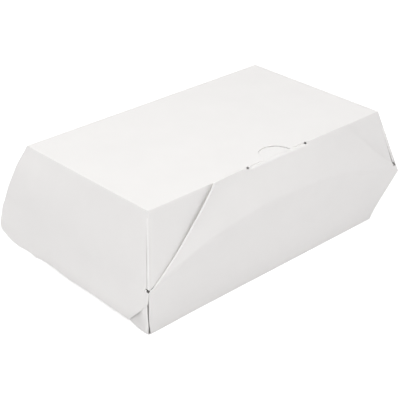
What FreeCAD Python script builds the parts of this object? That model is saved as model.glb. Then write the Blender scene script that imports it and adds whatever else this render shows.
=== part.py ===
import FreeCAD, Part
import math
import os

# A folded paperboard food box with a closed lid and a front locking flap.
# X runs along the box, the front is -Y, Z is up, and the box stands on Z = 0.
# The sheet is creased at the waist, where the tray flares out to meet the lid.

doc = FreeCAD.newDocument("FoodBox")

sizes = doc.addObject("Spreadsheet::Sheet", "sizes")
drivingSizes = [
    ("board", 0.5, "thickness of the paperboard"),
    ("ply_gap", 0.4, "air between two layers of board"),
    ("fold_gap", 0.3, "width of a cut or a working fold"),
    ("fold_radius", 1.3, "outer radius of a crease"),
    ("base_length", 200, "bottom panel along X"),
    ("base_width", 111, "bottom panel along Y"),
    ("waist_length", 222, "widest place along X"),
    ("waist_width", 136, "widest place along Y"),
    ("waist_height", 39.4, "height of the waist crease"),
    ("top_length", 200, "top panel along X"),
    ("top_width", 111, "top panel along Y"),
    ("box_height", 81, "height of the top panel"),
    ("crest_rise", 20, "rise of the arched crease above the waist"),
    ("crest_tuck", 5, "how far the front leaf of the lid stops under the arched crease"),
    ("shoulder_length", 117, "locking flap along X at its shoulders"),
    ("shoulder_rise", 1.5, "shoulders of the locking flap above the top panel"),
    ("shoulder_stand", 1.6, "shoulders of the locking flap in front of the top crease"),
    ("tab_width", 50, "lock tab along X"),
    ("tab_length", 22, "lock tab from its crease to its end"),
    ("slit_width", 2.6, "width of the slit behind the top crease"),
    ("slit_hole", 2.2, "diameter of the holes at the ends of the slit"),
    ("notch_width", 24, "thumb notch at the slit"),
    ("notch_depth", 13, "thumb notch from the slit to its end"),
    ("notch_radius", 7.5, "rounded end of the thumb notch"),
    ("skirt_lift", 3, "lower edge of the end flaps above the ground"),
    ("skirt_stand", 13, "how far the back end of an end flap would stand out past the waist"),
    ("skirt_spring", 32, "length at the back over which an end flap springs away from the tray"),
    ("skirt_inset", 2.5, "end flaps stop short of the corners of the box"),
    ("front_chamfer", 20.5, "cut-off lower front corner of an end flap"),
    ("back_chamfer", 20.5, "cut-off lower back corner of an end flap"),
]
for line, (alias, value, note) in enumerate(drivingSizes, start=1):
    sizes.set(f"A{line}", alias)
    sizes.set(f"B{line}", str(value))
    sizes.set(f"C{line}", note)
    sizes.setAlias(f"B{line}", alias)
doc.recompute()


def size(alias):
    return float(getattr(sizes, alias))


def bind(item, **formulas):
    """Ties properties of an object to formulas over the sheet's values."""
    for name, formula in formulas.items():
        words = formula
        for alias in sorted((row[0] for row in drivingSizes), key=len, reverse=True):
            words = words.replace("{" + alias + "}", "sizes." + alias)
        item.setExpression(name, words)


def place(item, x="0", y="0", z="0"):
    """Ties the position of an object to formulas over the sheet's values."""
    bind(item, **{"Placement.Base.x": x, "Placement.Base.y": y, "Placement.Base.z": z})


def frustum(name, low, high, lowHalf, highHalf):
    """A block with sloping sides. Each half is (half length, front half width, back half width)."""
    item = doc.addObject("Part::Wedge", name)
    item.Placement.Rotation = FreeCAD.Rotation(FreeCAD.Vector(1, 0, 0), 90)
    bind(
        item,
        Ymin=low,
        Ymax=high,
        Xmin=f"-({lowHalf[0]})",
        Xmax=lowHalf[0],
        Zmin=f"-({lowHalf[2]})",
        Zmax=lowHalf[1],
        X2min=f"-({highHalf[0]})",
        X2max=highHalf[0],
        Z2min=f"-({highHalf[2]})",
        Z2max=highHalf[1],
    )
    return item


def block(name, length, width, height, x, y, z):
    """A box that is centred on x and starts at y and z."""
    item = doc.addObject("Part::Box", name)
    bind(item, Length=length, Width=width, Height=height)
    place(item, f"({x}) - ({length}) / 2", y, z)
    return item


def drum(name, radius, height, axis, x, y, z):
    """A cylinder that starts at x, y, z and runs along the axis."""
    item = doc.addObject("Part::Cylinder", name)
    item.Placement.Rotation = FreeCAD.Rotation(FreeCAD.Vector(0, 0, 1), axis)
    bind(item, Radius=radius, Height=height)
    place(item, x, y, z)
    return item


def cut(name, base, tool):
    item = doc.addObject("Part::Cut", name)
    item.Base = base
    item.Tool = tool
    return item


def common(name, base, tool):
    item = doc.addObject("Part::Common", name)
    item.Base = base
    item.Tool = tool
    return item


def fuse(name, pieces):
    item = doc.addObject("Part::MultiFuse", name)
    item.Shapes = pieces
    item.Refine = True
    return item


def rounded(name, base, radius, level):
    """Rounds the sloping creases of a frustum and those around its face at one level."""
    doc.recompute()
    picked = []
    for index, edge in enumerate(base.Shape.Edges, start=1):
        heights = [vertex.Point.z for vertex in edge.Vertexes]
        sloping = abs(heights[0] - heights[1]) > 1
        closing = max(abs(height - level) for height in heights) < 0.01
        if sloping or closing:
            picked.append((index, radius, radius))
    item = doc.addObject("Part::Fillet", name)
    item.Base = base
    item.Edges = picked
    return item


def prism(name, corners, direction):
    """A flat outline, given by its corners, drawn out along a direction."""
    outline = doc.addObject("Part::Polygon", name + "Outline")
    outline.Nodes = [FreeCAD.Vector(*corner) for corner in corners]
    outline.Close = True
    item = doc.addObject("Part::Extrusion", name)
    item.Base = outline
    item.Dir = FreeCAD.Vector(*direction)
    item.Solid = True
    return item


alongX = FreeCAD.Vector(1, 0, 0)
alongY = FreeCAD.Vector(0, 1, 0)
alongZ = FreeCAD.Vector(0, 0, 1)
board = size("board")
creaseRadius = size("fold_radius")


def inset(half, layers):
    """The same half sizes, moved in by a number of board thicknesses."""
    return tuple(f"({value}) - {layers} * {{board}}" for value in half)


# Tray: bottom panel and four flared walls, up to the waist.
# Its end walls stop inside the end flaps of the lid.

baseHalf = ("{base_length} / 2", "{base_width} / 2", "{base_width} / 2")
trayEnd = "{waist_length} / 2 - {board} - {ply_gap}"
trayWaist = (trayEnd, "{waist_width} / 2", "{waist_width} / 2")


def buildTray():
    outside = frustum("trayOutside", "0", "{waist_height}", baseHalf, trayWaist)
    inside = frustum(
        "trayInside", "{board}", "{waist_height}", inset(baseHalf, 1), inset(trayWaist, 1)
    )
    outsideRound = rounded("trayOutsideRound", outside, creaseRadius, 0)
    insideRound = rounded("trayInsideRound", inside, creaseRadius - board, board)
    shell = cut("trayShell", outsideRound, insideRound)

    # Corner webs: the spare board of each corner, folded flat inside the long walls,
    # where it makes two more layers.
    webLine = "{base_width} / 2 - 3 * {board}"
    webLineWaist = "{waist_width} / 2 - 3 * {board}"
    webDeep = ("{base_length} / 2", webLine, webLine)
    webDeepWaist = (trayEnd, webLineWaist, webLineWaist)
    webOuter = frustum(
        "webOuter", "{board} / 2", "{waist_height}", inset(baseHalf, 0.5), inset(trayWaist, 0.5)
    )
    webInner = frustum("webInner", "0", "{waist_height}", webDeep, webDeepWaist)
    webLayer = cut("webLayer", webOuter, webInner)
    quarters = []
    for side, sign in (("Left", "-"), ("Right", "")):
        corner = doc.addObject("Part::Box", "webCorner" + side)
        corner.Placement.Rotation = FreeCAD.Rotation(alongY, -45)
        bind(
            corner,
            Length="{waist_height} * 2",
            Width="{waist_width}",
            Height="{waist_height} * 2",
        )
        place(corner, sign + "{base_length} / 2", "-{waist_width} / 2", "0")
        quarters.append(corner)
    webs = common("webs", webLayer, fuse("webCorners", quarters))
    return fuse("tray", [shell, webs])


# Lid: top panel, back wall, front leaf behind the locking flap, and end flaps
# that hang outside the tray. The notch and the slit for the lock tab are in its top.

lidFront = "{waist_width} / 2 - {board} - {ply_gap}"
lidWaist = ("{waist_length} / 2", lidFront, "{waist_width} / 2")
topHalf = ("{top_length} / 2", "{top_width} / 2", "{top_width} / 2")
topCrease = size("top_width") / 2
hingeToSlit = math.hypot(
    size("waist_width") / 2 - topCrease + size("slit_width"),
    size("box_height") - board - size("waist_height"),
)
tabOuter = hingeToSlit - size("ply_gap")
tabInner = tabOuter - board
leafTop = size("waist_height") + math.sqrt(
    (tabInner - size("ply_gap")) ** 2 - (size("waist_width") / 2 - topCrease + board) ** 2
)


def archRadius(rise):
    """The radius of an arch over the whole waist."""
    chord = "{waist_length}"
    return f"({chord} * {chord} / 4 + ({rise}) * ({rise})) / (2 * ({rise}))"


def buildSkirt():
    """One end flap below the waist: flush with the tray, then springing straight at the back."""
    waist = size("waist_height")
    waistX = size("waist_length") / 2
    slope = (waistX - size("top_length") / 2) / (size("box_height") - waist)
    lap = 3 * board
    flushX = size("base_length") / 2 + size("ply_gap") + board
    standX = waistX + size("skirt_stand")
    reach = size("waist_width") / 2
    wires = []
    for y, footX in ((-reach, flushX), (reach - size("skirt_spring"), flushX), (reach, standX)):
        outer = [(waistX - slope * lap, waist + lap), (waistX, waist), (footX, 0)]
        inner = [(x - board, z) for x, z in reversed(outer)]
        corners = [FreeCAD.Vector(-x, y, z) for x, z in outer + inner]
        wires.append(Part.makePolygon(corners + corners[:1]))
    sheet = doc.addObject("Part::Feature", "skirtSheet")
    sheet.Shape = Part.makeLoft(wires, True, True)

    foot = size("skirt_lift")
    lean = (reach - size("base_width") / 2) / waist
    corner = reach - size("skirt_inset")
    cutTop = foot + size("front_chamfer")
    frontFoot = corner - lean * (waist - cutTop)
    backTop = foot + size("back_chamfer")
    top = waist + lap
    outlineX = -standX - board
    corners = [
        (outlineX, -corner, top),
        (outlineX, -corner, waist),
        (outlineX, -frontFoot, cutTop),
        (outlineX, size("front_chamfer") - frontFoot, foot),
        (outlineX, corner - size("back_chamfer"), foot),
        (outlineX, corner, backTop),
        (outlineX, corner, top),
    ]
    outline = prism("skirtOutline", corners, (standX - flushX + size("base_length") / 4, 0, 0))
    return common("skirtLeft", sheet, outline)


def buildLid():
    low = "{waist_height} + {fold_gap}"
    high = "{box_height}"
    outside = frustum("lidOutside", low, high, lidWaist, topHalf)
    inside = frustum("lidInside", low, high + " - {board}", inset(lidWaist, 1), inset(topHalf, 1))
    outsideRound = rounded("lidOutsideRound", outside, creaseRadius, size("box_height"))
    insideRound = rounded(
        "lidInsideRound", inside, creaseRadius - board, size("box_height") - board
    )
    shell = cut("lidShell", outsideRound, insideRound)

    leafRise = "{crest_rise} - {crest_tuck}"
    leafArch = drum(
        "leafArch",
        archRadius(leafRise),
        "{waist_width} / 2 - {base_width} / 4",
        -alongY,
        "0",
        "-{base_width} / 4",
        f"{{waist_height}} + {leafRise} - ({archRadius(leafRise)})",
    )
    slit = block(
        "slit",
        "{tab_width} + 2 * {ply_gap}",
        "{slit_width} + 2 * {board}",
        "{box_height}",
        "0",
        "-{top_width} / 2 - 2 * {board}",
        str(leafTop),
    )
    holes = []
    for side, sign in (("Left", "-"), ("Right", "")):
        hole = drum(
            "slitHole" + side,
            "{slit_hole} / 2",
            "{box_height}",
            alongZ,
            sign + "{tab_width} / 2",
            "-{top_width} / 2 + {slit_width} - {slit_hole} / 2",
            "{box_height} - 3 * {board}",
        )
        holes.append(hole)

    # Thumb notch: a foot that narrows from the slit to a rounded end.
    notchEnd = "{slit_width} + {notch_depth} - {notch_radius} - {top_width} / 2"
    underTop = "{box_height} - 3 * {board}"
    notchHead = drum(
        "notchHead", "{notch_radius}", "{box_height}", alongZ, "0", notchEnd, underTop
    )
    slitBack = size("slit_width") - topCrease
    headMiddle = slitBack + size("notch_depth") - size("notch_radius")
    notchLow = size("box_height") - 3 * board
    corners = [
        (-size("notch_width") / 2, slitBack - board, notchLow),
        (size("notch_width") / 2, slitBack - board, notchLow),
        (size("notch_radius"), headMiddle, notchLow),
        (-size("notch_radius"), headMiddle, notchLow),
    ]
    notchFoot = prism("notchFoot", corners, (0, 0, size("box_height")))
    openings = fuse("lidCuts", [leafArch, slit, notchHead, notchFoot] + holes)
    trimmed = cut("lidTrimmed", shell, openings)

    skirtLeft = buildSkirt()
    skirtRight = doc.addObject("Part::Mirroring", "skirtRight")
    skirtRight.Source = skirtLeft
    skirtRight.Normal = alongX
    return fuse("lid", [trimmed, skirtLeft, skirtRight])


# Locking flap: hinged along the waist, bulged up to an arched crease, then
# leaning back to its shoulders. Its tab is bent around the hinge line, so that
# it draws out of the slit as the flap swings down.


def buildLockFlap():
    waist = size("waist_height")
    front = size("waist_width") / 2
    half = size("waist_length") / 2
    low = waist + size("fold_gap")
    crest = waist + size("crest_rise")
    shoulder = size("box_height") + size("shoulder_rise")
    shoulderY = -topCrease - size("shoulder_stand")

    crestPlate = block(
        "crestPlate",
        "{waist_length}",
        "{board}",
        "{crest_rise}",
        "0",
        "-{waist_width} / 2",
        "{waist_height} + {fold_gap}",
    )
    crestArch = drum(
        "crestArch",
        archRadius("{crest_rise}"),
        "{waist_width}",
        alongY,
        "0",
        "-{waist_width}",
        "{waist_height} + {crest_rise} - (" + archRadius("{crest_rise}") + ")",
    )
    crescent = common("crescent", crestPlate, crestArch)

    # The upper panel is ruled from the arched crease to the straight line of the shoulders.
    endLean = math.atan((front + shoulderY) / (shoulder - waist))
    middleLean = math.atan((front + shoulderY) / (shoulder - crest))
    endDrop = board / math.sin(endLean)
    middleDrop = board / math.sin(middleLean)

    def strip(y, endZ, middleZ):
        ends = [FreeCAD.Vector(side * half, y, endZ) for side in (-1, 1)]
        lowEnds = [FreeCAD.Vector(side * half, y, endZ - endDrop) for side in (-1, 1)]
        middle = FreeCAD.Vector(0, y, middleZ)
        lowMiddle = FreeCAD.Vector(0, y, middleZ - middleDrop)
        straight = abs(middleZ - endZ) < 1e-6
        upper = Part.LineSegment(ends[0], ends[1]) if straight else Part.Arc(ends[0], middle, ends[1])
        lower = Part.Arc(lowEnds[1], lowMiddle, lowEnds[0])
        sides = [Part.LineSegment(ends[1], lowEnds[1]), Part.LineSegment(lowEnds[0], ends[0])]
        return Part.Wire([piece.toShape() for piece in (upper, sides[0], lower, sides[1])])

    ruled = doc.addObject("Part::Feature", "ruledPanel")
    ruled.Shape = Part.makeLoft(
        [strip(-front, waist, crest), strip(shoulderY, shoulder, shoulder)], True, True
    )

    shoulderX = size("shoulder_length") / 2
    outline = prism(
        "flapOutline",
        [
            (-half, -front - board, low),
            (half, -front - board, low),
            (shoulderX, -front - board, shoulder),
            (-shoulderX, -front - board, shoulder),
        ],
        (0, front, 0),
    )
    panel = common("flapPanel", fuse("flapSheet", [crescent, ruled]), outline)

    # The tab is a band of a tube around the hinge line.
    hinge = FreeCAD.Vector(0, -front, waist)
    tabHalf = size("tab_width") / 2
    creaseAngle = math.degrees(math.asin((front + shoulderY - board) / tabOuter))
    sweep = math.degrees(size("tab_length") / tabOuter)
    tubes = []
    for name, radius in (("tabOutside", tabOuter), ("tabInside", tabInner)):
        tube = doc.addObject("Part::Cylinder", name)
        tube.Radius = radius
        tube.Angle = sweep
        bind(tube, Height="{tab_width}")
        endAngle = math.radians(creaseAngle + sweep)
        outward = FreeCAD.Vector(0, math.sin(endAngle), math.cos(endAngle))
        turn = FreeCAD.Rotation(outward, alongX.cross(outward), alongX, "ZXY")
        tube.Placement = FreeCAD.Placement(hinge - alongX * tabHalf, turn)
        tubes.append(tube)
    tab = cut("tabBand", tubes[0], tubes[1])

    # Under the tab's crease the panel is cut back to the tube.
    clearBlock = block(
        "tabClear",
        "{tab_width}",
        "{waist_width} / 2",
        "{box_height}",
        "0",
        "-{waist_width} / 2",
        "{box_height} - 8 * {board}",
    )
    clearTube = drum(
        "tabClearTube",
        str(tabOuter),
        "{waist_length}",
        alongX,
        "-{waist_length} / 2",
        "-{waist_width} / 2",
        "{waist_height}",
    )
    trimmed = cut("flapTrimmed", panel, cut("tabClearance", clearBlock, clearTube))
    return fuse("lock_flap", [trimmed, tab])


nodes = []
for label, builder in (("tray", buildTray), ("lid", buildLid), ("lock_flap", buildLockFlap)):
    node = builder()
    node.Label = label
    nodes.append(node)
doc.recompute()

for item in doc.Objects:
    if "Invalid" in item.State or "Error" in item.State:
        raise RuntimeError(f"{item.Name} failed: {item.State}")
for node in nodes:
    if node.Shape.isNull() or not node.Shape.isValid() or len(node.Shape.Solids) != 1:
        raise RuntimeError(f"{node.Label} is not one valid solid: {len(node.Shape.Solids)}")

os.makedirs("parts", exist_ok=True)
for node in nodes:
    node.Shape.exportStep(f"parts/{node.Label}.step")
    bounds = node.Shape.optimalBoundingBox(True, False)
    print(
        node.Label,
        f"volume {node.Shape.Volume:.0f}",
        f"x {bounds.XMin:.2f} {bounds.XMax:.2f}",
        f"y {bounds.YMin:.2f} {bounds.YMax:.2f}",
        f"z {bounds.ZMin:.2f} {bounds.ZMax:.2f}",
    )
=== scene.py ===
import math
import bmesh
import bpy
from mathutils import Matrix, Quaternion, Vector


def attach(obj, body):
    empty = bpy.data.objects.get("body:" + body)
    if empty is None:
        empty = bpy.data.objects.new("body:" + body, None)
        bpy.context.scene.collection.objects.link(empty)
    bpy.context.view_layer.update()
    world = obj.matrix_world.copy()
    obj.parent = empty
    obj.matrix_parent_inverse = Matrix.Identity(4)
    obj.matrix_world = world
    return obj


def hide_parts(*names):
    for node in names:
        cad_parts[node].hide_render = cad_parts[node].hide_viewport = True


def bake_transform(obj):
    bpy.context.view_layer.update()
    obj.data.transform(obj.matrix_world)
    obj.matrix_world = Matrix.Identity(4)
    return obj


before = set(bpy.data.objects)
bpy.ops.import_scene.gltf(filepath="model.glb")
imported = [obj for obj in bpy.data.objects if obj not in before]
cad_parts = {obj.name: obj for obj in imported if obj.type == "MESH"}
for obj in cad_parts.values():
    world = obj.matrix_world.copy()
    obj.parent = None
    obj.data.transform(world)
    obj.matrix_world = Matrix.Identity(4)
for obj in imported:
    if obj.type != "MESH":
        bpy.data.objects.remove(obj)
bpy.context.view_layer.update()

mm = 0.001

carton = {
    "board": 0.5,
    "topX": 100, "topY": 55.5, "topZ": 81,
    "waistX": 111, "waistY": 68, "waistZ": 39.4,
    "baseX": 100, "baseY": 55.5,
    "archRise": 20,
}

# slot 3 (crease) is a painted highlight; slot 2, the cut edge, is lighter than the face partly as a painted
# highlight
slotOf = {"inside": 1, "edge": 2, "crease": 3}  # the coated face is slot 0


# small hand tools for folding sheets, all in millimetres

def clearPick():
    if bpy.context.mode != "OBJECT":
        bpy.ops.object.mode_set(mode="OBJECT")
    bpy.ops.object.select_all(action="DESELECT")


def pickPiece(piece):
    clearPick()
    piece.select_set(True)
    bpy.context.view_layer.objects.active = piece


def settle(piece):
    # place and size go into the mesh, so the object sits at the origin
    pickPiece(piece)
    bpy.ops.object.transform_apply(location=True, rotation=True, scale=True)


def newSheet(name, centre, width, depth, columns, rows):
    # a level sheet, left open in edit mode
    clearPick()
    bpy.ops.mesh.primitive_grid_add(x_subdivisions=columns, y_subdivisions=rows, size=1,
                                    location=Vector(centre) * mm)
    sheet = bpy.context.object
    sheet.name = name
    sheet.data.name = name
    sheet.scale = (width * mm, depth * mm, 1)
    settle(sheet)
    dressBoard(sheet)
    bpy.ops.object.mode_set(mode="EDIT")
    return sheet


def editCopy():
    return bmesh.from_edit_mesh(bpy.context.object.data)


def pickEdges(test):
    bpy.ops.mesh.select_mode(type="EDGE")
    bpy.ops.mesh.select_all(action="DESELECT")
    cage = editCopy()
    for edge in cage.edges:
        if test(edge, edge.verts[0].co / mm, edge.verts[1].co / mm):
            edge.select_set(True)
    bmesh.update_edit_mesh(bpy.context.object.data)
    return sum(edge.select for edge in cage.edges)


def pickFaces(test):
    bpy.ops.mesh.select_mode(type="FACE")
    bpy.ops.mesh.select_all(action="DESELECT")
    cage = editCopy()
    for face in cage.faces:
        if test(face.calc_center_median() / mm):
            face.select_set(True)
    bmesh.update_edit_mesh(bpy.context.object.data)


def cutOut(test):
    pickFaces(test)
    bpy.ops.mesh.delete(type="FACE")


def paint(part, test):
    pickFaces(test)
    bpy.context.object.active_material_index = slotOf[part]
    bpy.ops.object.material_slot_assign()


def reshape(rule, pickedOnly=False):
    # moves points one by one: rule gives the new place, in millimetres
    cage = editCopy()
    for vert in cage.verts:
        if vert.select or not pickedOnly:
            vert.co = Vector(rule(*(vert.co / mm))) * mm
    bmesh.update_edit_mesh(bpy.context.object.data)


def pull(test, rule):
    # draws the open edges out into a new panel, then lays its far edge along the rule
    pickEdges(lambda edge, a, b: edge.is_boundary and test(a) and test(b))
    bpy.ops.mesh.extrude_edges_move()
    reshape(rule, pickedOnly=True)


def roundFold(test, radius, steps=4):
    count = pickEdges(lambda edge, a, b: not edge.is_boundary and test(a) and test(b))
    bpy.ops.mesh.bevel(offset=radius * mm, segments=steps, affect="EDGES", clamp_overlap=True)
    return count


def cutLine(point, normal, test=None, trim=False):
    if test is None:
        bpy.ops.mesh.select_mode(type="FACE")
        bpy.ops.mesh.select_all(action="SELECT")
    else:
        pickFaces(test)
    bpy.ops.mesh.bisect(plane_co=Vector(point) * mm, plane_no=Vector(normal).normalized(),
                        clear_outer=trim, threshold=0.00001)


def cutRows(heights, test=None):
    for height in heights:
        cutLine((0, 0, height), (0, 0, 1), test)


def weld(gap):
    bpy.ops.mesh.select_all(action="SELECT")
    bpy.ops.mesh.remove_doubles(threshold=gap * mm)


def faceOut(probe):
    # probe tells which faces to test, and the way that they should look
    bpy.ops.mesh.select_all(action="SELECT")
    bpy.ops.mesh.normals_make_consistent(inside=False)
    cage = editCopy()
    total = 0
    for face in cage.faces:
        total += probe(face.calc_center_median() / mm, face.normal) * face.calc_area()
    if total < 0:
        bpy.ops.mesh.flip_normals()


def thicken(piece):
    # the sheet is its outer face, and the board's thickness goes inwards
    pickPiece(piece)
    wall = piece.modifiers.new("board", "SOLIDIFY")
    wall.thickness = carton["board"] * mm
    wall.offset = -1
    wall.use_even_offset = True
    wall.thickness_clamp = 0
    wall.material_offset = slotOf["inside"]
    # cut edges get the edge finish, lighter partly as a painted highlight
    wall.material_offset_rim = slotOf["edge"]
    bpy.ops.object.modifier_apply(modifier=wall.name)


def cutHole(centre, axis, radius, reach, steps=14):
    # a round hole, cut by straight knife strokes round it in the faces that are within reach
    middle = Vector(centre)
    along = Vector(axis).normalized()
    across = along.orthogonal().normalized()

    def near(p):
        return (p - middle).length < reach
    for step in range(steps):
        way = Quaternion(along, 2 * math.pi * step / steps) @ across
        cutLine(middle + way * radius, way, near)

    def inside(p):
        off = p - middle
        return off.length < reach and (off - along * off.dot(along)).length < radius
    cutOut(inside)


def cutOutline(points, level, inside, reach=3.0, flat=0.4):
    # a shaped opening in a level panel, one knife stroke for each run of its outline
    for start, end in zip(points, points[1:]):
        a, b = Vector((*start, level)), Vector((*end, level))
        middle = (a + b) / 2
        run = b - a
        cutLine(middle, (run.y, -run.x, 0),
                lambda p: abs(p.z - level) < flat and (p - middle).length < reach)
    cutOut(lambda p: abs(p.z - level) < flat and inside(p.x, p.y))


def smoothShade(piece, angle=32):
    pickPiece(piece)
    bpy.ops.object.shade_smooth_by_angle(angle=math.radians(angle))


def ease(value, low, high):
    # grows softly from 0 at low to 1 at high
    t = min(max((value - low) / (high - low), 0), 1)
    return t * t * (3 - 2 * t)


def between(value, riseFrom, riseTo, fallFrom, fallTo):
    # grows softly to 1, stays there, and falls back to 0
    return ease(value, riseFrom, riseTo) * (1 - ease(value, fallFrom, fallTo))


def archHeight(x, half):
    # the arched crease of the front, over a waist that is half long to each side
    return carton["waistZ"] + carton["archRise"] * max(0, 1 - (x / half) ** 2)


# finishes of the board: coated face, a lighter copy that paints fold highlights, uncoated inside, and cut
# edge, whose light tone is partly its own and partly a painted highlight

finish = {
    "faceColor": (0.905, 0.898, 0.892, 1),
    "insideColor": (0.845, 0.83, 0.80, 1),
    # the lightest colour, for folds, is a painted highlight; the cut edge's colour is partly its own and
    # partly a painted highlight
    "edgeAndHighlightColor": (0.96, 0.955, 0.95, 1),
    "paintedHighlightColor": (0.985, 0.98, 0.976, 1),
    "mottleScale": 38,
    "fibreScale": 2200,
    "toothScale": 3600,
    "grainHeight": 0.00002,
}


def addNode(tree, kind, place, **values):
    node = tree.nodes.new(kind)
    node.location = place
    for name, value in values.items():
        setattr(node, name, value)
    return node


def makeFibreGroup():
    # paper: soft cloudy mottle, long fibres and a fine tooth
    group = bpy.data.node_groups.new("paperFibre", "ShaderNodeTree")
    face = group.interface
    face.new_socket(name="Place", in_out="INPUT", socket_type="NodeSocketVector")
    for name, value in (("Mottle Scale", finish["mottleScale"]), ("Fibre Scale", finish["fibreScale"])):
        face.new_socket(name=name, in_out="INPUT", socket_type="NodeSocketFloat").default_value = value
    for name in ("Mottle", "Fibre", "Height"):
        face.new_socket(name=name, in_out="OUTPUT", socket_type="NodeSocketFloat")
    goIn = addNode(group, "NodeGroupInput", (-900, 0))
    goOut = addNode(group, "NodeGroupOutput", (500, 0))
    cloud = addNode(group, "ShaderNodeTexNoise", (-600, 220))
    cloud.inputs["Detail"].default_value = 3
    cloud.inputs["Roughness"].default_value = 0.55
    stretch = addNode(group, "ShaderNodeMapping", (-700, -60))
    stretch.inputs["Scale"].default_value = (0.28, 1, 1)
    stretch.inputs["Rotation"].default_value = (0.15, 0.1, 0.2)
    fibre = addNode(group, "ShaderNodeTexNoise", (-450, -60))
    fibre.inputs["Detail"].default_value = 4
    fibre.inputs["Roughness"].default_value = 0.6
    tooth = addNode(group, "ShaderNodeTexNoise", (-450, -320))
    tooth.inputs["Scale"].default_value = finish["toothScale"]
    tooth.inputs["Detail"].default_value = 2
    join = addNode(group, "ShaderNodeMath", (-100, -120), operation="MULTIPLY_ADD")
    join.inputs[1].default_value = 0.6
    link = group.links.new
    link(goIn.outputs["Place"], cloud.inputs["Vector"])
    link(goIn.outputs["Mottle Scale"], cloud.inputs["Scale"])
    link(goIn.outputs["Place"], stretch.inputs["Vector"])
    link(stretch.outputs["Vector"], fibre.inputs["Vector"])
    link(goIn.outputs["Fibre Scale"], fibre.inputs["Scale"])
    link(goIn.outputs["Place"], tooth.inputs["Vector"])
    link(fibre.outputs["Fac"], join.inputs[0])
    link(tooth.outputs["Fac"], join.inputs[2])
    link(cloud.outputs["Fac"], goOut.inputs["Mottle"])
    link(fibre.outputs["Fac"], goOut.inputs["Fibre"])
    link(join.outputs["Value"], goOut.inputs["Height"])
    return group


fibreGroup = makeFibreGroup()


def startBoard(name, color, spread, roughness, specular):
    # one board finish: colour with mottle and fibre, roughness with fibre, fine bump
    material = bpy.data.materials.new(name)
    material.use_nodes = True
    tree = material.node_tree
    shader = tree.nodes["Principled BSDF"]
    shader.inputs["Specular IOR Level"].default_value = specular
    coords = addNode(tree, "ShaderNodeTexCoord", (-1500, 0))
    paper = addNode(tree, "ShaderNodeGroup", (-1250, 0), node_tree=fibreGroup)
    paper.inputs["Mottle Scale"].default_value = finish["mottleScale"]
    paper.inputs["Fibre Scale"].default_value = finish["fibreScale"]
    tree.links.new(coords.outputs["Object"], paper.inputs["Place"])
    tint = addNode(tree, "ShaderNodeValToRGB", (-950, 200))
    dark = tuple(c * (1 - spread) for c in color[:3]) + (1,)
    light = tuple(min(c * (1 + spread * 0.5), 1) for c in color[:3]) + (1,)
    tint.color_ramp.elements[0].position = 0.3
    tint.color_ramp.elements[0].color = dark
    tint.color_ramp.elements[1].position = 0.7
    tint.color_ramp.elements[1].color = light
    tree.links.new(paper.outputs["Mottle"], tint.inputs["Fac"])
    speck = addNode(tree, "ShaderNodeMapRange", (-950, -60))
    speck.inputs["From Min"].default_value = 0.3
    speck.inputs["From Max"].default_value = 0.7
    speck.inputs["To Min"].default_value = 1 - spread
    speck.inputs["To Max"].default_value = 1
    tree.links.new(paper.outputs["Fibre"], speck.inputs["Value"])
    mixed = addNode(tree, "ShaderNodeMix", (-600, 160), data_type="RGBA", blend_type="MULTIPLY")
    mixed.inputs["Factor"].default_value = 1
    tree.links.new(tint.outputs["Color"], mixed.inputs["A"])
    tree.links.new(speck.outputs["Result"], mixed.inputs["B"])
    tree.links.new(mixed.outputs["Result"], shader.inputs["Base Color"])
    rough = addNode(tree, "ShaderNodeMapRange", (-600, -120))
    rough.inputs["To Min"].default_value = roughness - 0.06
    rough.inputs["To Max"].default_value = roughness + 0.06
    tree.links.new(paper.outputs["Fibre"], rough.inputs["Value"])
    tree.links.new(rough.outputs["Result"], shader.inputs["Roughness"])
    bump = addNode(tree, "ShaderNodeBump", (-300, -300))
    bump.inputs["Strength"].default_value = 0.35
    bump.inputs["Distance"].default_value = finish["grainHeight"]
    tree.links.new(paper.outputs["Height"], bump.inputs["Height"])
    tree.links.new(bump.outputs["Normal"], shader.inputs["Normal"])
    return material


faceBoard = startBoard("coatedFace", finish["faceColor"], 0.012, 0.5, 0.4)
# a lighter copy of the board that paints the highlight on folds and on one cut edge
paintedHighlightBoard = startBoard("paintedFoldHighlight", finish["paintedHighlightColor"], 0.015, 0.6, 0.3)
insideBoard = startBoard("uncoatedInside", finish["insideColor"], 0.03, 0.8, 0.2)
# the cut edge: its lighter tone is partly its own, partly a painted highlight
edgeAndHighlightBoard = startBoard("cutEdgeAndHighlight", finish["edgeAndHighlightColor"], 0.02, 0.85, 0.15)


def dressBoard(piece):
    for material in (faceBoard, insideBoard, edgeAndHighlightBoard, paintedHighlightBoard):
        piece.data.materials.append(material)


print("finishes ready")


cameraFit = {
    "azimuth": -44.165, "elevation": 28.366, "roll": 0.885,
    "distance": 0.7252, "aim": (-0.0069, 0, 0.0319), "lens": 101.08,
}


def placeCamera():
    a = math.radians(cameraFit["azimuth"])
    e = math.radians(cameraFit["elevation"])
    back = Vector((math.sin(a) * math.cos(e), -math.cos(a) * math.cos(e), math.sin(e)))
    lensData = bpy.data.cameras.new("viewCamera")
    lensData.sensor_width = 36
    lensData.lens = cameraFit["lens"]
    lensData.clip_start = 0.01
    camera = bpy.data.objects.new("viewCamera", lensData)
    bpy.context.scene.collection.objects.link(camera)
    camera.location = Vector(cameraFit["aim"]) + back * cameraFit["distance"]
    camera.rotation_mode = "QUATERNION"
    turn = back.to_track_quat("Z", "Y")
    camera.rotation_quaternion = turn @ Quaternion((0, 0, 1), math.radians(cameraFit["roll"]))
    bpy.context.scene.camera = camera


placeCamera()
print("camera placed")


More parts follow.
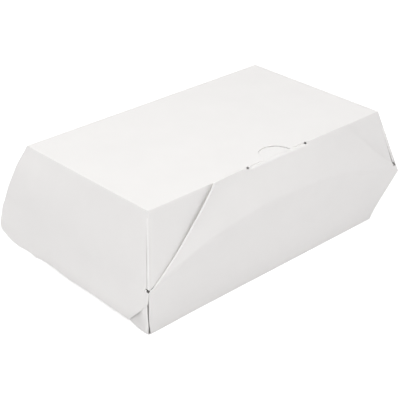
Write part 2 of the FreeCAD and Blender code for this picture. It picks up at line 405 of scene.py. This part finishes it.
trayWall = {
    "columns": 50, "rows": 37,
    "rowHeights": (4, 9, 15, 21, 27, 33),
    "foldRadius": 1.1,
    "rimGap": 0.1,  # the tray's waist lies this far inside the lid's, front and back
    "cornerInset": 1.05,  # each end wall stops this far short of the front corner
    "webStep": 2.0, "webFoot": 1.2, "webReach": 34, "webBack": 0.3,  # corner webs inside the front
    "bottomFront": -54.7,
    "footInset": 2.2, "footLift": 1.0, "backInset": 0.8, "backShift": 3.0,
    "leanIn": 3.3, "leanReach": 22, "backFootIn": 0.8, "footOut": 1.6,
    "hollow": 2.0,  # beside the front edge, where the skirt shades it
    "edgeUp": 0.9, "edgeFoot": 1.45,  # the front edge sways back above, and forward at its foot
    # width of the painted highlight strip at the front edge of each end wall
    "highlightWidth": 0.9,
}


def makeTray():
    c = carton
    w = trayWall
    rimY = c["waistY"] - w["rimGap"]
    flareX = c["waistX"] - c["baseX"]
    flareY = rimY - c["baseY"]
    tray = newSheet("trayShell", (0, 0, 0), 2 * c["baseX"], 2 * c["baseY"], w["columns"], w["rows"])
    # the two end walls
    for side in (-1, 1):
        pull(lambda p: abs(p.x - side * c["baseX"]) < 0.01,
             lambda x, y, z: (side * c["waistX"], y * rimY / c["baseY"], c["waistZ"]))
    # the back wall
    pull(lambda p: abs(p.y - c["baseY"]) < 0.01 and p.z < 0.01,
         lambda x, y, z: (x * c["waistX"] / c["baseX"], rimY, c["waistZ"]))
    weld(0.3)
    # front corners: each end wall stops at a crisp edge, and its web runs in behind the front
    for side in (-1, 1):
        def cornerEdge(p):
            t = p.z / c["waistZ"]
            return abs(p.x - side * (c["baseX"] + flareX * t)) < 0.3 and p.y < 0.3 - c["baseY"] - flareY * t

        def webStart(x, y, z):
            return x - side * c["board"], y + w["webStep"], z

        def webEnd(x, y, z):
            t = z / c["waistZ"]
            return x - side * (w["webFoot"] + w["webReach"] * t), y + w["webBack"], z
        pickEdges(lambda edge, a, b: edge.is_boundary and cornerEdge(a) and cornerEdge(b))
        reshape(lambda x, y, z: (x, y + w["cornerInset"], z), pickedOnly=True)
        bpy.ops.mesh.duplicate()
        reshape(webStart, pickedOnly=True)
        bpy.ops.mesh.extrude_edges_move()
        reshape(webEnd, pickedOnly=True)

    # the bottom panel stops behind the front fold
    def trimBottom(x, y, z):
        atFold = z < 0.01 and y < 0.2 - c["baseY"] and abs(x) < c["baseX"] - 0.1
        return x, w["bottomFront"] if atFold else y, z
    reshape(trimBottom)
    cutRows(w["rowHeights"])

    def onFold(p):
        low = p.z < 0.01 and (abs(abs(p.x) - c["baseX"]) < 0.01 or abs(p.y - c["baseY"]) < 0.01)
        t = p.z / c["waistZ"]
        corner = abs(abs(p.x) - (c["baseX"] + flareX * t)) < 0.05
        backCorner = corner and abs(p.y - (c["baseY"] + flareY * t)) < 0.05
        return low or backCorner
    folds = roundFold(onFold, w["foldRadius"])
    faceOut(lambda p, n: -n.z if p.z < 0.2 else 0)

    # behind its front corners the foot of each end is drawn in and up a little
    def drawFoot(x, y, z):
        near = (1 - ease(z, 0, 24)) * ease(y, -52, -30)
        out = ease(abs(x), 90, 99)
        back = ease(y, 40, 55)
        return (x - math.copysign(w["footInset"] + w["backInset"] * back, x) * near * out,
                y - w["backShift"] * back * near * out,
                z + w["footLift"] * near * out * (1 - z / c["waistZ"]))
    reshape(drawFoot)

    # the end walls lean in under the soft bend of the end flaps, and stand out at their front foot
    def leanIn(x, y, z):
        low = c["waistZ"] - z
        middle = between(y, -66, -50, 40, 62) * ease(abs(x), 98, 100)
        frontFoot = ease(abs(x), 85, 100) * between(y, -60, -53, -40, -20) * (1 - ease(z, 0, 14))
        backFoot = ease(abs(x), 80, 100) * ease(y, 30, 55) * (1 - ease(z, 0, 30))
        shaded = between(z, 2, 11, 28, 38) * between(y, -55.5, -50, -20, 0)
        inward = w["leanIn"] * max(0, 1 - low / w["leanReach"]) ** 1.6 * middle
        inward += w["backFootIn"] * backFoot - w["footOut"] * frontFoot + w["hollow"] * shaded
        front = (1 - ease(y, -54, -46)) * ease(abs(x), 96, 99.5)
        sway = front * (w["edgeUp"] * ease(z, 10, 34) - w["edgeFoot"] * (1 - ease(z, 0, 14)))
        return x - math.copysign(1, x) * inward, y + sway, z
    reshape(leanIn)

    # the last bit of each end wall is painted lighter: a painted highlight along its front fold
    highlightLineY = -c["baseY"] + w["cornerInset"] + w["highlightWidth"]
    lean = flareY / c["waistZ"]
    cutLine((0, highlightLineY, 0), (0, 1, lean), lambda p: abs(p.x) > 99 and p.y < -50)
    paint("crease", lambda p: abs(p.x) > 99.6 + flareX * p.z / c["waistZ"] and p.y < highlightLineY - lean * p.z)
    cutWaistHoles()
    thicken(tray)
    print("tray folded,", folds, "fold edges")
    return tray


lidPanel = {
    "columns": 50, "rows": 37,
    "wallRows": [77.5 - 3.5 * step for step in range(11)],
    "skirtRows": [36.5 - 2.6 * step for step in range(13)],
    "foldRadius": 0.85,
    "endAir": 0.2,  # the lid's ends lie this far outside the tray at the waist
    "leafBack": 0.9,  # the front leaf lies this far behind the corner at the waist
    "leafHang": 0.6,  # and this far below the arched crease in the middle
    "cornerStrip": 0.9,
    "skirtFoot": 2.6, "footFront": 54.0, "footBack": 64.5,
    "skirtAir": 1.3,  # between the skirt and the tray
    "chamferTop": 23.7, "chamferRun": 20.5, "chamferFront": -60.0, "chamferBack": 65.6,
    # width of the painted highlight strip beside each chamfered cut edge
    "edgeHighlightBand": 0.9,
    "slitAt": 1.3, "slitWide": 0.6, "slitTop": 76, "slitGrow": 22,  # in the left end panel
    "leafSlitAt": 1.9, "leafSlitLean": 0.03, "leafSlitTop": 70,  # in the right end of the leaf
    "waistSoft": 2.2, "waistReach": 24,  # each end flap bends gently over the waist
    "backBulge": 1.4, "upperBulge": 1.3,
    "springFrom": 30, "springTo": 66,  # behind the first, the skirt stands off the tray
    "springSlope": 0.30, "springKnee": 10.5, "springFall": 0.04,
    "footRise": ((0.5, -50, -30), (1.2, -35, 5), (4.4, 12, 48), (-3.0, 47, 62)),  # height, from y, to y
    "footHump": 0.5,
}


def makeLid():
    c = carton
    d = lidPanel
    drop = c["topZ"] - c["waistZ"]
    waistOut = c["waistX"] + d["endAir"]
    flareX = waistOut - c["topX"]
    flareY = c["waistY"] - c["topY"]
    lid = newSheet("lidShell", (0, 0, c["topZ"]), 2 * c["topX"], 2 * c["topY"], d["columns"], d["rows"])
    # end panels down to the waist
    for side in (-1, 1):
        pull(lambda p: abs(p.x - side * c["topX"]) < 0.01 and p.z > 80.9,
             lambda x, y, z: (side * waistOut, y * c["waistY"] / c["topY"], c["waistZ"]))
    # the back wall
    pull(lambda p: abs(p.y - c["topY"]) < 0.01 and p.z > 80.9,
         lambda x, y, z: (x * waistOut / c["topX"], c["waistY"], c["waistZ"]))
    # the front leaf, with its arched lower edge
    leafX = c["waistX"] - d["cornerStrip"] - d["endAir"]

    def leafFoot(x, y, z):
        foot = archHeight(x * leafX / c["topX"], leafX) - d["leafHang"] * (1 - (x / c["topX"]) ** 2)
        fall = (c["topZ"] - foot) / drop
        return (x * (1 + (leafX - c["topX"]) / c["topX"] * fall),
                -c["topY"] - (flareY - d["leafBack"]) * fall, foot)
    pull(lambda p: abs(p.y + c["topY"]) < 0.01 and p.z > 80.9, leafFoot)
    # front corners: a narrow strip past the fold, then a step back to the leaf
    for side in (-1, 1):
        def cornerEdge(edge, a, b):
            near, far = sorted((a.x * side, b.x * side))
            return (edge.is_boundary and 99.9 < near < 100.01 and far > 111
                    and max(a.y, b.y) < -55.4 and abs(a.z - b.z) > 20)

        def stepBack(x, y, z):
            fall = (c["topZ"] - z) / drop
            return side * (c["topX"] + (leafX - c["topX"]) * fall), y + d["leafBack"] * fall, z
        pickEdges(cornerEdge)
        bpy.ops.mesh.extrude_edges_move()
        reshape(lambda x, y, z: (x - side * d["cornerStrip"] * (c["topZ"] - z) / drop, y, z), pickedOnly=True)
        bpy.ops.mesh.extrude_edges_move()
        reshape(stepBack, pickedOnly=True)
    weld(0.05)
    cutRows(d["wallRows"])

    # end skirts: from the waist down over the tray, with their lower corners cut off
    trayFoot = c["baseX"] + (c["waistX"] - c["baseX"]) * d["skirtFoot"] / c["waistZ"]
    footOut = trayFoot + d["skirtAir"]
    chamferRise = d["chamferTop"] - d["skirtFoot"]
    chamfers = ((d["chamferFront"], -1), (d["chamferBack"], 1))
    for side in (-1, 1):
        def skirtFoot(x, y, z):
            reach = d["footFront"] if y < 0 else d["footBack"]
            return side * footOut, y * reach / c["waistY"], d["skirtFoot"]

        def onSkirt(p):
            return p.z < 39.2 and p.x * side > 99
        pull(lambda p: abs(p.z - c["waistZ"]) < 0.01 and p.x * side > 110.9, skirtFoot)
        cutRows(d["skirtRows"], onSkirt)
        for y, turn in chamfers:
            cutLine((0, y, d["chamferTop"]), (0, turn * chamferRise, -d["chamferRun"]), onSkirt, trim=True)

    def onFold(p):
        top = p.z > 80.99 and (abs(abs(p.x) - c["topX"]) < 0.01 or abs(abs(p.y) - c["topY"]) < 0.01)
        fall = (c["topZ"] - p.z) / drop
        corner = p.z > 39.3 and abs(abs(p.x) - (c["topX"] + flareX * fall)) < 0.05
        return top or corner and abs(abs(p.y) - (c["topY"] + flareY * fall)) < 0.05
    folds = roundFold(onFold, d["foldRadius"])
    faceOut(lambda p, n: n.z if p.z > 80.9 else 0)

    # beside the front folds a hairline slit opens towards the waist: in the end panel on the left,
    # in the leaf on the right
    leanX = flareX / drop
    leanY = flareY / drop

    def fromCorner(p):
        return p.y + c["topY"] + leanY * (c["topZ"] - p.z)

    def fromEnd(p):
        return c["topX"] + leanX * (c["topZ"] - p.z) - abs(p.x)

    def slitWide(z):
        return d["slitWide"] * min(max((d["slitTop"] - z) / d["slitGrow"], 0), 1)

    def leftPanel(p):
        return p.x < -99.8 and 39.5 < p.z < 77 and p.y < -52

    def rightLeaf(p):
        return p.x > 97 and 39.5 < p.z < d["leafSlitTop"] and fromCorner(p) < 1.3
    fullWidth = d["slitTop"] - d["slitGrow"]
    for low, high in ((c["waistZ"], fullWidth), (fullWidth, d["slitTop"])):
        taper = (slitWide(low) - slitWide(high)) / (high - low)
        for way in (-1, 1):
            edge = d["slitAt"] + way * slitWide(low) / 2
            cutLine((0, -c["topY"] - leanY * (c["topZ"] - low) + edge, low),
                    (0, 1, -leanY + way * taper / 2), lambda p: leftPanel(p) and low < p.z < high)
    leafIn = d["leafSlitAt"]
    leafTop = d["leafSlitTop"]
    cutLine((c["topX"] - leafIn, 0, c["topZ"]), (1, 0, leanX), rightLeaf)
    cutLine((c["topX"] + leanX * (c["topZ"] - leafTop) - leafIn, 0, leafTop),
            (1, 0, leanX - d["leafSlitLean"]), rightLeaf)
    cutOut(lambda p: leftPanel(p) and abs(fromCorner(p) - d["slitAt"]) < slitWide(p.z) / 2)
    cutOut(lambda p: rightLeaf(p) and leafIn < fromEnd(p) < leafIn + d["leafSlitLean"] * (leafTop - p.z))
    # a lighter strip beside each front fold of the lid: painted highlight
    paint("crease", lambda p: 39.5 < p.z < 80.6 and fromCorner(p) < d["slitAt"] - 0.4 and fromEnd(p) < 1.4)
    # beside the chamfered cut edges of the end flaps a strip of face takes the cut edge's lighter colour: a
    # painted highlight
    for side in (-1, 1):
        for y, turn in chamfers:
            slope = Vector((0, turn * chamferRise, -d["chamferRun"])).normalized()
            spot = Vector((0, y, d["chamferTop"])) - slope * d["edgeHighlightBand"]
            cutLine(spot, slope, lambda p: p.z < 30 and p.x * side > 99)
            paint("edge", lambda p: p.z < 26 and p.x * side > 99 and (p - spot).dot(slope) > 0)

    # each end is one springy sheet: soft at the waist, straight and standing off at the back
    def flatEnd(z):
        if z > c["waistZ"]:
            return waistOut - (waistOut - c["topX"]) * (z - c["waistZ"]) / drop
        return waistOut - (waistOut - footOut) * (c["waistZ"] - z) / (c["waistZ"] - d["skirtFoot"])

    def springEnd(x, y, z):
        if z > 80.9 or abs(x) < flatEnd(z) - 0.35:
            return x, y, z
        low = c["waistZ"] - z
        soft = max(0, 1 - abs(low) / d["waistReach"]) ** 2 * ease(y, -67, -50) * (1 - 0.9 * ease(y, 36, 62))
        bulge = d["backBulge"] * ease(z, 81, 66) + d["upperBulge"] * ease(z, 81, 68) * ease(z, 42, 54)
        out = bulge * ease(y, -10, 62) - d["waistSoft"] * soft
        rise = 0
        if low > 0:
            beyond = max(low - d["springKnee"], 0)
            straight = waistOut + d["springSlope"] * (low - beyond) - d["springFall"] * beyond
            lift = max(0, (y - d["springFrom"]) / (d["springTo"] - d["springFrom"])) ** 1.5
            out += min(lift, 1) * (straight - flatEnd(z))
            rise = sum(height * ease(y, start, end) for height, start, end in d["footRise"])
            rise += d["footHump"] * between(y, 30, 44, 46, 58)
            rise *= ease(low, 18, c["waistZ"] - d["skirtFoot"])
        return x + math.copysign(1, x) * out, y, z + rise
    reshape(springEnd)
    cutLock()
    cutWaistHoles()
    thicken(lid)
    print("lid folded,", folds, "fold edges")
    return lid


# thumb notch and slit in the top, and the round holes that relieve the folds
notch = {
    "middle": 4.5, "halfWidth": 10.9, "headCentre": -51.5, "head": 8.8, "flare": 2.2,
    "footSteps": 5, "headSteps": 18,
    "slitLeft": -22.3, "slitRight": 28.4, "slitBack": -54.5,
}

reliefHole = {
    "slitEnd": (-0.9, -56.6, 81.7),  # x is counted from the slit's end
    "lidRadius": 0.95, "flapRadius": 0.78,
    "cornerAxis": (-0.61, -0.63, 0.48),
    "waistLeft": ((-111.9, -67.1, 39.9), (-111.1, -67.5, 39.3)),  # two that make one long hole
    "waistAxis": (-1, -1, 0.5),
    "waistRight": (107.7, -66.6, 44.0),
    "waistRadius": 1.2,
}


def bellOutline():
    # the thumb notch, from its left foot over the head to its right foot
    n = notch
    half = []
    for step in range(n["footSteps"]):  # flared foot
        turn = step / n["footSteps"] * math.pi / 2
        half.append((n["halfWidth"] + n["flare"] * (1 - math.sin(turn)),
                     n["slitBack"] + n["flare"] * (1 - math.cos(turn))))
    foot = n["slitBack"] + n["flare"]
    rise = n["headCentre"] + n["head"] - foot
    half.append((n["halfWidth"], foot))
    for step in range(1, n["headSteps"] + 1):
        turn = step / n["headSteps"] * math.pi / 2
        half.append((n["halfWidth"] * math.cos(turn), foot + rise * math.sin(turn)))
    left = [(n["middle"] - x, y) for x, y in half]
    right = [(n["middle"] + x, y) for x, y in half[:-1]]
    return left + right[::-1]


def insideBell(x, y):
    # crossing count against the closed outline
    points = bellOutline()
    hit = False
    for (ax, ay), (bx, by) in zip(points, points[1:] + points[:1]):
        if (ay > y) != (by > y) and x < ax + (y - ay) / (by - ay) * (bx - ax):
            hit = not hit
    return hit


def cutLock():
    # slit through the front fold, then the bell behind it, then a hole at each end of the slit
    n = notch

    def atFold(p):
        return p.z > 75 and p.y < -50 and n["slitLeft"] - 6 < p.x < n["slitRight"] + 6
    for x in (n["slitLeft"], n["slitRight"]):
        cutLine((x, 0, 0), (1, 0, 0), atFold)
    cutLine((0, n["slitBack"], 0), (0, 1, 0), atFold)
    cutLine((0, 0, 78), (0, 0, 1), atFold)
    cutOut(lambda p: n["slitLeft"] < p.x < n["slitRight"] and p.y < n["slitBack"] and p.z > 78)
    cutOutline(bellOutline(), carton["topZ"], insideBell)
    cutSlitHoles(reliefHole["lidRadius"])


def cutSlitHoles(radius):
    # punched through flap and lid at the two ends of the tab's bend
    shift, y, z = reliefHole["slitEnd"]
    for x in (notch["slitLeft"], notch["slitRight"]):
        cutHole((x + shift, y, z), reliefHole["cornerAxis"], radius, reach=4)


def cutWaistHoles():
    # a long hole at the left end of the waist, where three folds meet, and a round one at the right
    for centre in reliefHole["waistLeft"]:
        cutHole(centre, reliefHole["waistAxis"], reliefHole["waistRadius"], reach=4.5)
    cutHole(reliefHole["waistRight"], reliefHole["cornerAxis"], reliefHole["waistRadius"], reach=2.2)


# the front panel is tray front, locking flap and tab in one sheet
frontPanel = {
    "columns": 74, "flange": 5, "flangeLift": 0.6,
    "lowRows": [5, 10, 15, 20, 25, 29, 32, 34.2],
    "creaseRows": [35.6 + 0.55 * step for step in range(16)],
    "highRows": [46 + 3 * step for step in range(12)],
    "halfFoot": 99.65, "halfWaist": 110.5, "foldRadius": 0.5,
    "shoulderLeft": -53.0, "shoulderRight": 64.2, "shoulderY": -57.1, "shoulderZ": 82.3,
    "archSoft": 2.2, "archSteps": 5,
    "bendRadius": 1.1, "bendStart": 79.9, "bendTurn": 91.5,
    "tabLeft": -21.6, "tabRight": 27.7, "tabLength": 21, "tabRadius": 43.4, "tongueLevel": 80.5,
    "tongueColumns": (10.6, 10.0, 9.0, 7.6),  # finer towards the notch's sides
    "tongueSide": 0.18, "tongueHead": 0.06,  # air between tongue and notch
    "edgeStrip": 0.9, "slants": ((-1, (0.598, -0.802)), (1, (-0.68, -0.734))),
    "edgeLift": 0.6, "edgeBow": 4.9, "edgeBack": 3.9, "bowTop": 0.35,
    "rightPoke": 2.2, "leftPoke": 0.15, "footStep": 0.5,
}


def makeFront():
    c = carton
    f = frontPanel
    front = newSheet("frontPanel", (0, -c["baseY"] + f["flange"] / 2, 0), 2 * f["halfFoot"], f["flange"],
                     f["columns"], 1)

    # lower panel, from the foot to the arched crease
    def toArch(x, y, z):
        across = x * f["halfWaist"] / f["halfFoot"]
        return across, -c["waistY"], archHeight(across, f["halfWaist"])
    pull(lambda p: abs(p.y + c["baseY"]) < 0.01, toArch)
    # upper panel, from the arched crease to the shoulders
    middle = (f["shoulderLeft"] + f["shoulderRight"]) / 2
    spread = (f["shoulderRight"] - f["shoulderLeft"]) / 2 / f["halfWaist"]
    pull(lambda p: abs(p.y + c["waistY"]) < 0.01,
         lambda x, y, z: (middle + x * spread, f["shoulderY"], f["shoulderZ"]))
    roundFold(lambda p: p.z < 0.01 and abs(p.y + c["baseY"]) < 0.02, f["foldRadius"])
    # its flange lies on the bottom panel
    reshape(lambda x, y, z: (x, y, z + f["flangeLift"] * ease(y, -54.9, -54.0) if z < 0.05 else z))
    roundFold(lambda p: abs(p.y + c["waistY"]) < 0.01 and p.z > 39.3
              and abs(p.z - archHeight(p.x, f["halfWaist"])) < 0.02, f["archSoft"], f["archSteps"])
    cutRows(f["lowRows"] + f["creaseRows"] + f["highRows"])
    weld(0.01)

    # room for the tab between the shoulders
    def nearTop(p):
        return p.z > 76.5 and p.y > -61
    for edge in (f["tabLeft"], f["tabRight"]):
        cutLine((edge, 0, 0), (1, 0, 0), nearTop)
    cutLine((0, 0, f["bendStart"]), (0, 0, 1), nearTop)
    cutOut(lambda p: p.z > f["bendStart"] and f["tabLeft"] < p.x < f["tabRight"])
    # the bend over the top, then the tab that follows a circle round the hinge line
    run = c["waistY"] + f["shoulderY"]
    climb = f["shoulderZ"] - c["waistZ"]
    lean = Vector((0, run, climb)).normalized()
    startY = f["shoulderY"] - (f["shoulderZ"] - f["bendStart"]) * run / climb
    bendCentre = (0, startY + f["bendRadius"] * lean.z, f["bendStart"] - f["bendRadius"] * lean.y)
    hinge = (0, -c["waistY"], c["waistZ"])

    def tabRoot(edge, a, b):
        level = max(abs(a.z - f["bendStart"]), abs(b.z - f["bendStart"])) < 0.02
        return (edge.is_boundary and level and f["tabLeft"] - 0.01 < min(a.x, b.x)
                and max(a.x, b.x) < f["tabRight"] + 0.01)
    pickEdges(tabRoot)
    bpy.ops.mesh.spin(steps=8, angle=math.radians(f["bendTurn"]), center=Vector(bendCentre) * mm,
                      axis=(1, 0, 0))
    bpy.ops.mesh.spin(steps=30, angle=f["tabLength"] / f["tabRadius"], center=Vector(hinge) * mm,
                      axis=(1, 0, 0))
    for off in f["tongueColumns"]:
        for side in (-1, 1):
            cutLine((notch["middle"] + side * off, 0, 0), (1, 0, 0),
                    lambda p: p.z > 76 and -56.5 < p.y < -36)
    faceOut(lambda p, n: -n.y if 20 < p.z < 50 else 0)

    # the limp tab springs up into the thumb notch, inside the notch's outline
    def springTab(x, y, z):
        reach = y + c["waistY"]
        rise = z - c["waistZ"]
        if z < 60 or reach < 12.9 or y > -20:
            return x, y, z
        r = math.hypot(reach, rise)
        turn = math.atan2(reach, rise)
        side = abs(x - notch["middle"]) / (notch["halfWidth"] - f["tongueSide"])
        foot = notch["slitBack"] + notch["flare"]
        head = foot + (notch["headCentre"] + notch["head"] - foot) * math.sqrt(max(0, 1 - side ** 2))
        if side > 1:
            head = notch["slitBack"]
        underTop = c["topZ"] - c["board"] - c["waistZ"]
        limit = math.hypot(head + c["waistY"], underTop) - f["tongueHead"]
        flat = (f["tongueLevel"] - c["waistZ"]) / math.cos(turn)
        grown = max(r, min(limit, flat))
        r += (grown - r) * ease(reach, 12.9, 15.5)
        return x, -c["waistY"] + r * math.sin(turn), c["waistZ"] + r * math.cos(turn)
    reshape(springTab)

    # a narrow strip is scored along both slanted cut edges, and the left one is painted lighter: a painted
    # highlight along that edge
    for side, slant in f["slants"]:
        foot = side * f["halfWaist"]

        def inFrom(p):
            return (p.x - foot) * slant[0] + (p.z - c["waistZ"]) * slant[1]

        def nearEdge(p):
            return p.z > 39.6 and p.y < -56.5 and inFrom(p) < 9
        cutLine((foot + slant[0] * f["edgeStrip"], 0, c["waistZ"] + slant[1] * f["edgeStrip"]),
                (slant[0], 0, slant[1]), nearEdge)
        if side < 0:
            paint("crease", lambda p: nearEdge(p) and inFrom(p) < f["edgeStrip"])

    # the left cut edge of the flap is bowed, and stands off the leaf towards its shoulder
    def standOff(x, y, z):
        if z < 39.45 or y > -56.5:
            return x, y, z
        rise = (z - c["waistZ"]) / climb
        edge = f["shoulderLeft"] - (f["shoulderLeft"] + f["halfWaist"]) * (1 - rise)
        near = 1 - ease(x - edge, 0, 26)
        beyond = max(rise - f["bowTop"], 0) / (1 - f["bowTop"])
        bow = min(rise / f["bowTop"], 1) ** 0.4 * f["edgeBow"] - f["edgeBack"] * beyond ** 1.3
        bow += 0.3 + 0.6 * ease(rise, 0.5, 0.75) - 0.8 * ease(rise, 0.9, 1)
        return x + bow * near, y - f["edgeLift"] * near * ease(z, 44, 70), z
    reshape(standOff)

    # the right end of the waist pokes out, the left one is drawn out a touch, and the foot steps
    # forward, most of all at its left end
    def pokeOut(x, y, z):
        right = ease(x, 84, 109) * (0.35 + 0.65 * ease(z, 0, 36)) * (1 - ease(z, 40, 60))
        left = ease(-x, 84, 109) * between(z, 8, 34, 37, 40)
        step = f["footStep"] * (2 - ease(x, -99, -60)) * (1 - ease(z, 0, 14))
        return x + f["rightPoke"] * right - f["leftPoke"] * left, y - step, z
    reshape(pokeOut)
    cutSlitHoles(reliefHole["flapRadius"])
    cutWaistHoles()
    thicken(front)
    print("front folded")
    return front


tray = makeTray()
lid = makeLid()
front = makeFront()

for piece in (tray, lid, front):
    smoothShade(piece)
    settle(piece)

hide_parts("tray")
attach(tray, "box")
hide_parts("lid")
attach(lid, "box")
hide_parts("lock_flap")
clearPick()
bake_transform(front)


studio = {
    "world": 0.363, "worldTint": (0.985, 0.95, 1.0, 1), "lampTint": (0.992, 0.997, 0.955),
    "floorSize": 6, "floorTone": 0.93, "floorGlow": 0.7,
    "lamps": [  # name, place, width, power
        ("nearKey", (-0.35, -0.35, 0.7), 0.5, 1.08),
        ("highFront", (0.0, -0.3, 1.1), 0.9, 3.95),
        ("highBack", (-0.2, 0.3, 0.9), 0.6, 2.13),
        ("sideFill", (-0.9, 0.0, 0.1), 0.6, 1.15),
        ("lowFront", (0.1, -1.0, 0.12), 0.6, 1.15),
    ],
}


def makeFloor():
    clearPick()
    bpy.ops.mesh.primitive_plane_add(size=studio["floorSize"], location=(0, 0, -0.0002))
    floor = bpy.context.object
    floor.name = "studioFloor"
    material = bpy.data.materials.new("paleFloor")
    material.use_nodes = True
    tree = material.node_tree
    shader = tree.nodes["Principled BSDF"]
    tone = studio["floorTone"]
    shader.inputs["Base Color"].default_value = (tone, tone, tone, 1)
    shader.inputs["Roughness"].default_value = 0.9
    shader.inputs["Specular IOR Level"].default_value = 0
    shader.inputs["Emission Color"].default_value = (1, 1, 1, 1)
    ray = addNode(tree, "ShaderNodeLightPath", (-600, 0))
    seen = addNode(tree, "ShaderNodeMath", (-400, 0), operation="MAXIMUM")
    lift = addNode(tree, "ShaderNodeMath", (-200, 0), operation="MULTIPLY")
    lift.inputs[1].default_value = studio["floorGlow"]
    tree.links.new(ray.outputs["Is Camera Ray"], seen.inputs[0])
    tree.links.new(ray.outputs["Is Glossy Ray"], seen.inputs[1])
    tree.links.new(seen.outputs["Value"], lift.inputs[0])
    tree.links.new(lift.outputs["Value"], shader.inputs["Emission Strength"])
    floor.data.materials.append(material)


def makeLight():
    world = bpy.data.worlds.new("studioWorld")
    bpy.context.scene.world = world
    world.use_nodes = True
    tree = world.node_tree
    sky = tree.nodes["Background"]
    tint = addNode(tree, "ShaderNodeMix", (-300, 220), data_type="RGBA")
    tint.inputs["A"].default_value = studio["worldTint"]
    tint.inputs["B"].default_value = (1, 1, 1, 1)
    ray = addNode(tree, "ShaderNodeLightPath", (-800, 0))
    seen = addNode(tree, "ShaderNodeMath", (-600, 0), operation="MAXIMUM")
    seenThrough = addNode(tree, "ShaderNodeMath", (-450, 0), operation="MAXIMUM")
    level = addNode(tree, "ShaderNodeMapRange", (-300, 0))
    level.inputs["To Min"].default_value = studio["world"]
    level.inputs["To Max"].default_value = 1
    tree.links.new(ray.outputs["Is Camera Ray"], seen.inputs[0])
    tree.links.new(ray.outputs["Is Glossy Ray"], seen.inputs[1])
    tree.links.new(seen.outputs["Value"], seenThrough.inputs[0])
    tree.links.new(ray.outputs["Is Transmission Ray"], seenThrough.inputs[1])
    tree.links.new(seenThrough.outputs["Value"], level.inputs["Value"])
    tree.links.new(seenThrough.outputs["Value"], tint.inputs["Factor"])
    tree.links.new(tint.outputs["Result"], sky.inputs["Color"])
    tree.links.new(level.outputs["Result"], sky.inputs["Strength"])
    for name, place, width, power in studio["lamps"]:
        addLamp(name, place, width, power, studio["lampTint"])


def addLamp(name, place, width, power, color):
    lampData = bpy.data.lights.new(name, "AREA")
    lampData.shape = "SQUARE"
    lampData.size = width
    lampData.energy = power
    lampData.color = color
    lamp = bpy.data.objects.new(name, lampData)
    bpy.context.scene.collection.objects.link(lamp)
    lamp.location = place
    aim = Vector((0, 0, 0.04)) - lamp.location
    lamp.rotation_mode = "QUATERNION"
    lamp.rotation_quaternion = aim.to_track_quat("-Z", "Y")


makeFloor()
makeLight()
bpy.context.scene.view_settings.view_transform = "Standard"
print("studio ready")
